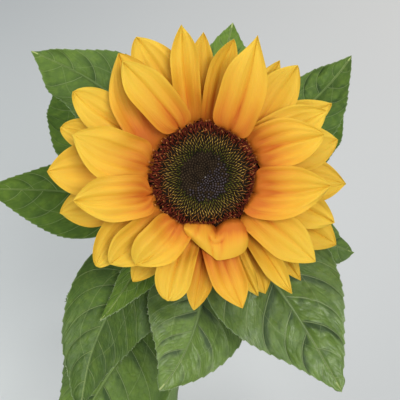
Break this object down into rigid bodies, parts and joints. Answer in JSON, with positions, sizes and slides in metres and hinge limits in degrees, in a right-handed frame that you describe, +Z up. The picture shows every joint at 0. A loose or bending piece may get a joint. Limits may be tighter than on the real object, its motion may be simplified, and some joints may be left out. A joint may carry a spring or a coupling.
{
  "type": "potted sunflower plant",
  "caption": "Sunflower in full bloom in a plain clay pot: a nodding head of yellow petals round a dark seed disc, on a leafy green stem.",
  "frame": {"origin": "centre of the flat underside of the pot", "axes": "+Z up, from the pot to the flower head; -Y is the side that the flower head leans and looks towards; +X is to the right when seen from that side"},
  "size_m": [0.2387, 0.2493, 0.5294],
  "materials": {
    "terracotta": "matte",
    "potting_soil": "matte",
    "stem": "matte",
    "calyx": "matte",
    "bracts": "matte",
    "disc": "matte",
    "petals": "satin",
    "leaves": "satin"
  },
  "bodies": {
    "root": {"pot": "terracotta", "soil": "potting_soil", "stem": "stem", "calyx": "calyx", "bracts": "bracts", "disc": "disc", "petal_01": "petals", "petal_02": "petals", "petal_03": "petals", "petal_04": "petals", "petal_05": "petals", "petal_06": "petals", "petal_07": "petals", "petal_08": "petals", "petal_09": "petals", "petal_10": "petals", "petal_11": "petals", "petal_12": "petals", "petal_13": "petals", "petal_14": "petals", "petal_15": "petals", "petal_16": "petals", "petal_17": "petals", "petal_18": "petals", "petal_19": "petals", "petal_20": "petals", "petal_21": "petals", "petal_22": "petals", "petal_23": "petals", "petal_24": "petals", "petal_25": "petals", "petal_26": "petals", "petal_27": "petals", "petal_28": "petals", "petal_29": "petals", "petal_30": "petals", "petal_31": "petals", "petal_32": "petals", "petal_33": "petals", "petal_34": "petals", "petal_35": "petals", "petal_36": "petals", "leaf_upper_left": "leaves", "leaf_upper_back": "leaves", "leaf_upper_right": "leaves", "leaf_small_front": "leaves", "leaf_front_right": "leaves", "leaf_right": "leaves", "leaf_left": "leaves", "leaf_front": "leaves", "leaf_back_right": "leaves", "leaf_back_left": "leaves", "leaf_front_left": "leaves", "leaf_low_front": "leaves", "leaf_low_right": "leaves", "leaf_low_left": "leaves", "leaf_low_back": "leaves", "leaf_foot_right": "leaves", "leaf_foot_left": "leaves", "leaf_foot_back": "leaves"}
  },
  "joints": []
}
